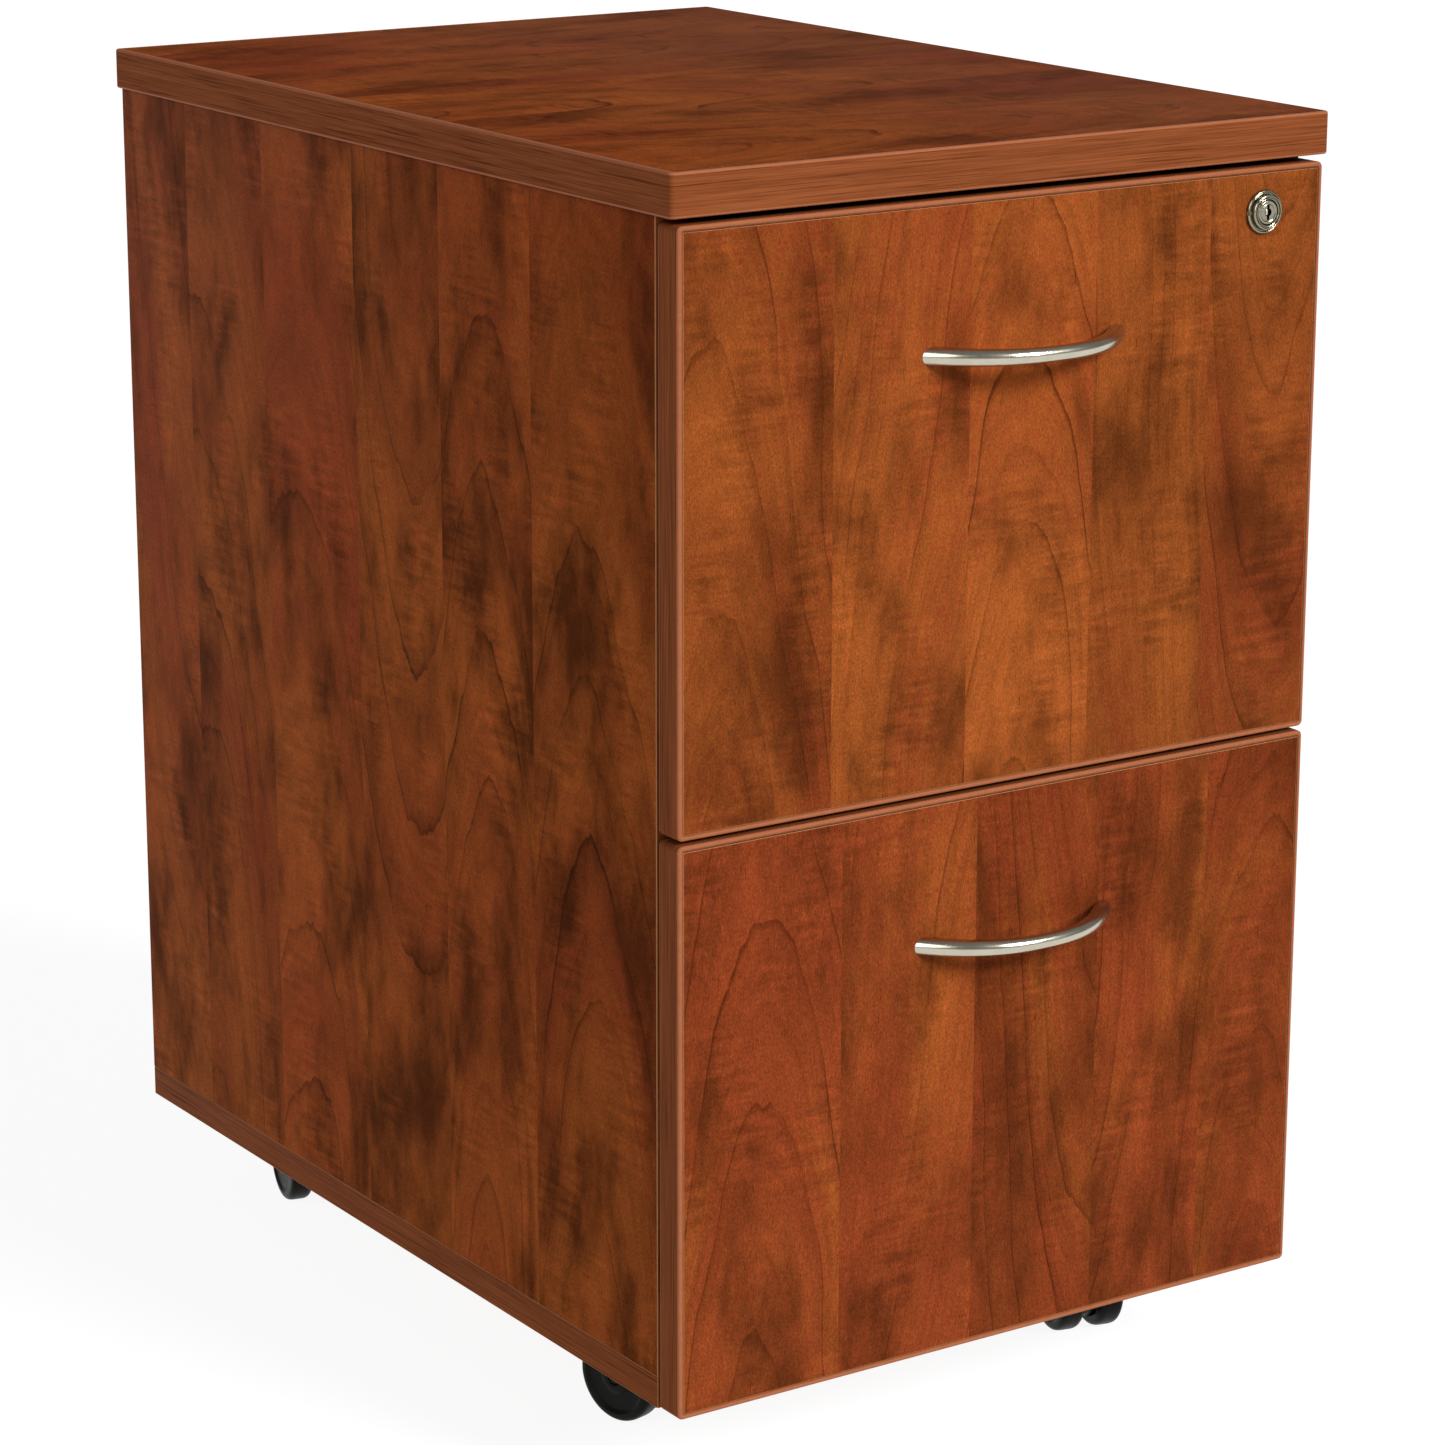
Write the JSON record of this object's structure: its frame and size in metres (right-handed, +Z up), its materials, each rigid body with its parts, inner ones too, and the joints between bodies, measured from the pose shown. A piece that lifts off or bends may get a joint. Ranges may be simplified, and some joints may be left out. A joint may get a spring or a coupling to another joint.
{
  "type": "mobile file pedestal",
  "caption": "Wood-laminate mobile file pedestal with full-extension file drawers, bow handles, a cam lock and swivelling twin-wheel casters.",
  "frame": {"origin": "bottom centre of the overall box, on the floor under the middle of the cabinet", "axes": "+Z up, -Y towards the drawer fronts, +X to the user's right when facing the drawers"},
  "size_m": [0.4, 0.605, 0.6797],
  "materials": {
    "front_laminate": "satin printed cherry laminate, upright flamed grain",
    "carcass_laminate": "satin printed cherry laminate, darker",
    "edge_band": "satin PVC edge band with fine straight grain",
    "box_melamine": "matt brown melamine",
    "handle_nickel": "brushed satin nickel",
    "lock_nickel": "bright nickel",
    "rail_steel": "black paint, satin",
    "zinc_steel": "bright zinc plate",
    "caster_nylon": "black moulded nylon, satin"
  },
  "bodies": {
    "cabinet": {"top_panel": "carcass_laminate", "top_edge_band": "edge_band", "left_side_panel": "carcass_laminate", "right_side_panel": "carcass_laminate", "left_side_edge_band": "edge_band", "right_side_edge_band": "edge_band", "bottom_panel": "carcass_laminate", "bottom_edge_band": "edge_band", "back_panel": "carcass_laminate", "lock_strike": "zinc_steel", "upper_left_slide_outer": "zinc_steel", "upper_right_slide_outer": "zinc_steel", "lower_left_slide_outer": "zinc_steel", "lower_right_slide_outer": "zinc_steel", "front_left_caster_plate": "zinc_steel", "front_right_caster_plate": "zinc_steel", "rear_left_caster_plate": "zinc_steel", "rear_right_caster_plate": "zinc_steel"},
    "upper_drawer": {"upper_drawer_front": "front_laminate", "upper_front_edge_band": "edge_band", "upper_drawer_left_side": "box_melamine", "upper_drawer_right_side": "box_melamine", "upper_drawer_bottom": "box_melamine", "upper_drawer_back": "box_melamine", "upper_drawer_handle": "handle_nickel", "upper_left_file_rail": "rail_steel", "upper_right_file_rail": "rail_steel", "upper_left_slide_inner": "zinc_steel", "upper_right_slide_inner": "zinc_steel", "lock_housing": "lock_nickel"},
    "upper_slide_middles": {"upper_left_slide_middle": "zinc_steel", "upper_right_slide_middle": "zinc_steel"},
    "lower_drawer": {"lower_drawer_front": "front_laminate", "lower_front_edge_band": "edge_band", "lower_drawer_left_side": "box_melamine", "lower_drawer_right_side": "box_melamine", "lower_drawer_bottom": "box_melamine", "lower_drawer_back": "box_melamine", "lower_drawer_handle": "handle_nickel", "lower_left_file_rail": "rail_steel", "lower_right_file_rail": "rail_steel", "lower_left_slide_inner": "zinc_steel", "lower_right_slide_inner": "zinc_steel"},
    "lower_slide_middles": {"lower_left_slide_middle": "zinc_steel", "lower_right_slide_middle": "zinc_steel"},
    "lock_cylinder": {"lock_plug": "lock_nickel", "lock_cam": "zinc_steel"},
    "front_left_swivel": {"front_left_caster_hood": "caster_nylon"},
    "front_left_left_wheel": {"front_left_caster_left_wheel": "caster_nylon"},
    "front_left_right_wheel": {"front_left_caster_right_wheel": "caster_nylon"},
    "front_right_swivel": {"front_right_caster_hood": "caster_nylon"},
    "front_right_left_wheel": {"front_right_caster_left_wheel": "caster_nylon"},
    "front_right_right_wheel": {"front_right_caster_right_wheel": "caster_nylon"},
    "rear_left_swivel": {"rear_left_caster_hood": "caster_nylon"},
    "rear_left_left_wheel": {"rear_left_caster_left_wheel": "caster_nylon"},
    "rear_left_right_wheel": {"rear_left_caster_right_wheel": "caster_nylon"},
    "rear_right_swivel": {"rear_right_caster_hood": "caster_nylon"},
    "rear_right_left_wheel": {"rear_right_caster_left_wheel": "caster_nylon"},
    "rear_right_right_wheel": {"rear_right_caster_right_wheel": "caster_nylon"}
  },
  "joints": [
    {"name": "upper_drawer_slide", "type": "slide", "parent": "cabinet", "child": "upper_drawer", "axis": [0, -1, 0], "range_m": [0, 0.48]},
    {"name": "upper_middle_slide", "type": "slide", "parent": "cabinet", "child": "upper_slide_middles", "axis": [0, -1, 0], "range_m": [0, 0.24]},
    {"name": "lower_drawer_slide", "type": "slide", "parent": "cabinet", "child": "lower_drawer", "axis": [0, -1, 0], "range_m": [0, 0.48]},
    {"name": "lower_middle_slide", "type": "slide", "parent": "cabinet", "child": "lower_slide_middles", "axis": [0, -1, 0], "range_m": [0, 0.24]},
    {"name": "lock_turn", "type": "hinge", "parent": "upper_drawer", "child": "lock_cylinder", "pos_m": [0.1575, -0.2725, 0.6318], "axis": [0, 1, 0], "range_deg": [0, 90]},
    {"name": "front_left_swivel", "type": "hinge", "parent": "cabinet", "child": "front_left_swivel", "pos_m": [-0.1335, -0.1605, 0.05], "axis": [0, 0, 1], "continuous": true},
    {"name": "front_left_left_wheel_spin", "type": "hinge", "parent": "front_left_swivel", "child": "front_left_left_wheel", "pos_m": [-0.13785, -0.14303, 0.025], "axis": [0.9703, 0.2419, 0], "continuous": true},
    {"name": "front_left_right_wheel_spin", "type": "hinge", "parent": "front_left_swivel", "child": "front_left_right_wheel", "pos_m": [-0.13785, -0.14303, 0.025], "axis": [0.9703, 0.2419, 0], "continuous": true},
    {"name": "front_right_swivel", "type": "hinge", "parent": "cabinet", "child": "front_right_swivel", "pos_m": [0.1335, -0.1605, 0.05], "axis": [0, 0, 1], "continuous": true},
    {"name": "front_right_left_wheel_spin", "type": "hinge", "parent": "front_right_swivel", "child": "front_right_left_wheel", "pos_m": [0.12915, -0.17797, 0.025], "axis": [-0.9703, 0.2419, 0], "continuous": true},
    {"name": "front_right_right_wheel_spin", "type": "hinge", "parent": "front_right_swivel", "child": "front_right_right_wheel", "pos_m": [0.12915, -0.17797, 0.025], "axis": [-0.9703, 0.2419, 0], "continuous": true},
    {"name": "rear_left_swivel", "type": "hinge", "parent": "cabinet", "child": "rear_left_swivel", "pos_m": [-0.1335, 0.2135, 0.05], "axis": [0, 0, 1], "continuous": true},
    {"name": "rear_left_left_wheel_spin", "type": "hinge", "parent": "rear_left_swivel", "child": "rear_left_left_wheel", "pos_m": [-0.12976, 0.23111, 0.025], "axis": [0.9781, -0.2079, 0], "continuous": true},
    {"name": "rear_left_right_wheel_spin", "type": "hinge", "parent": "rear_left_swivel", "child": "rear_left_right_wheel", "pos_m": [-0.12976, 0.23111, 0.025], "axis": [0.9781, -0.2079, 0], "continuous": true},
    {"name": "rear_right_swivel", "type": "hinge", "parent": "cabinet", "child": "rear_right_swivel", "pos_m": [0.1335, 0.2135, 0.05], "axis": [0, 0, 1], "continuous": true},
    {"name": "rear_right_left_wheel_spin", "type": "hinge", "parent": "rear_right_swivel", "child": "rear_right_left_wheel", "pos_m": [0.1335, 0.1955, 0.025], "axis": [-1, 0, 0], "continuous": true},
    {"name": "rear_right_right_wheel_spin", "type": "hinge", "parent": "rear_right_swivel", "child": "rear_right_right_wheel", "pos_m": [0.1335, 0.1955, 0.025], "axis": [-1, 0, 0], "continuous": true}
  ],
  "couplings": [
    {"joint": "upper_middle_slide", "follows": "upper_drawer_slide", "ratio": 0.5},
    {"joint": "lower_middle_slide", "follows": "lower_drawer_slide", "ratio": 0.5}
  ]
}
